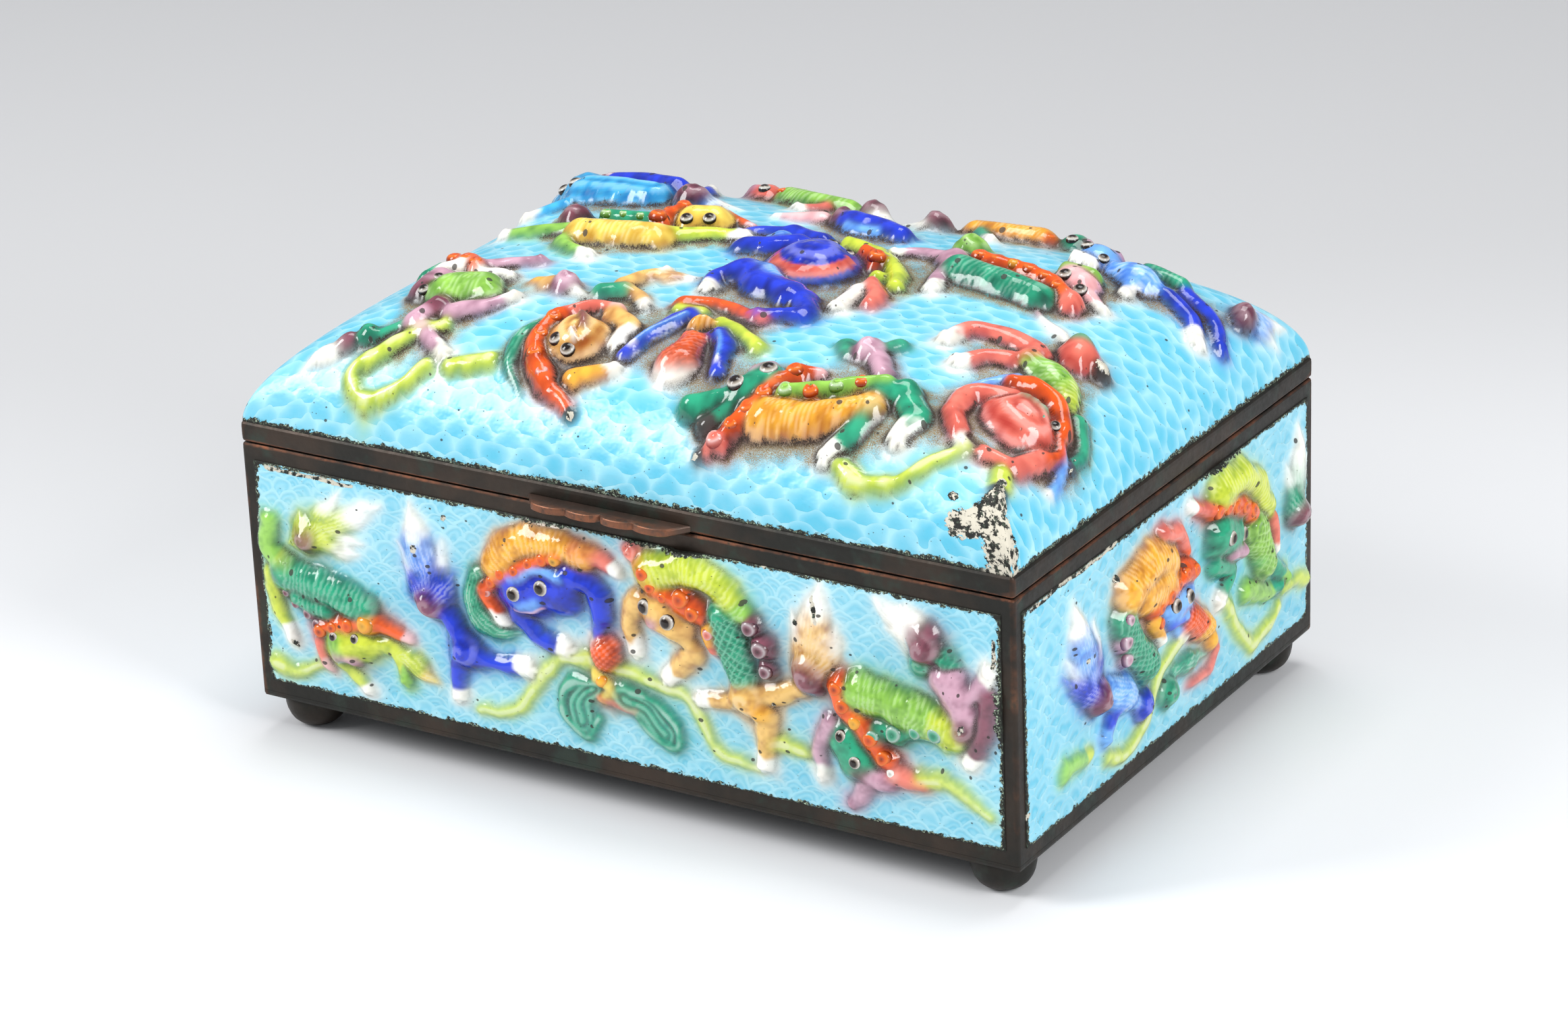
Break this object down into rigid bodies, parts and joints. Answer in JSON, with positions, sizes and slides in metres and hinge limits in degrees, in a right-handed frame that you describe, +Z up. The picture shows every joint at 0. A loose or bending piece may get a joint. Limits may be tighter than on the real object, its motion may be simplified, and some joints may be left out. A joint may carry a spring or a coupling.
{
  "type": "enamel box",
  "caption": "Oblong enamelled copper casket with a hinged domed lid, bun feet and raised lion-dogs on every side.",
  "frame": {"origin": "on the table, under the middle of the box", "axes": "+X to the right along the front, +Y from the front to the hinge, +Z up"},
  "size_m": [0.1588, 0.1152, 0.0847],
  "materials": {
    "enamel": "glossy painted enamel on beaten copper, turquoise ground with figures in many colours, chipped at the borders",
    "dark_copper": "dark brown patinated copper, worn coppery at the edges",
    "bright_copper": "worn reddish copper"
  },
  "bodies": {
    "body": {"case_walls": "dark_copper", "base_plate": "dark_copper", "front_left_foot": "dark_copper", "front_right_foot": "dark_copper", "back_left_foot": "dark_copper", "back_right_foot": "dark_copper", "front_plate": "enamel", "back_plate": "enamel", "right_plate": "enamel", "left_plate": "enamel", "body_knuckle_1": "bright_copper", "body_knuckle_2": "bright_copper", "body_knuckle_3": "bright_copper", "body_knuckle_4": "bright_copper", "hinge_pin": "bright_copper"},
    "lid": {"lid_rim": "dark_copper", "lid_dome": "enamel", "thumb_piece": "bright_copper", "lid_knuckle_1": "bright_copper", "lid_knuckle_2": "bright_copper", "lid_knuckle_3": "bright_copper"}
  },
  "joints": [
    {"name": "lid_hinge", "type": "hinge", "parent": "body", "child": "lid", "pos_m": [0, 0.05445, 0.05375], "axis": [-1, 0, 0], "range_deg": [0, 105]}
  ]
}
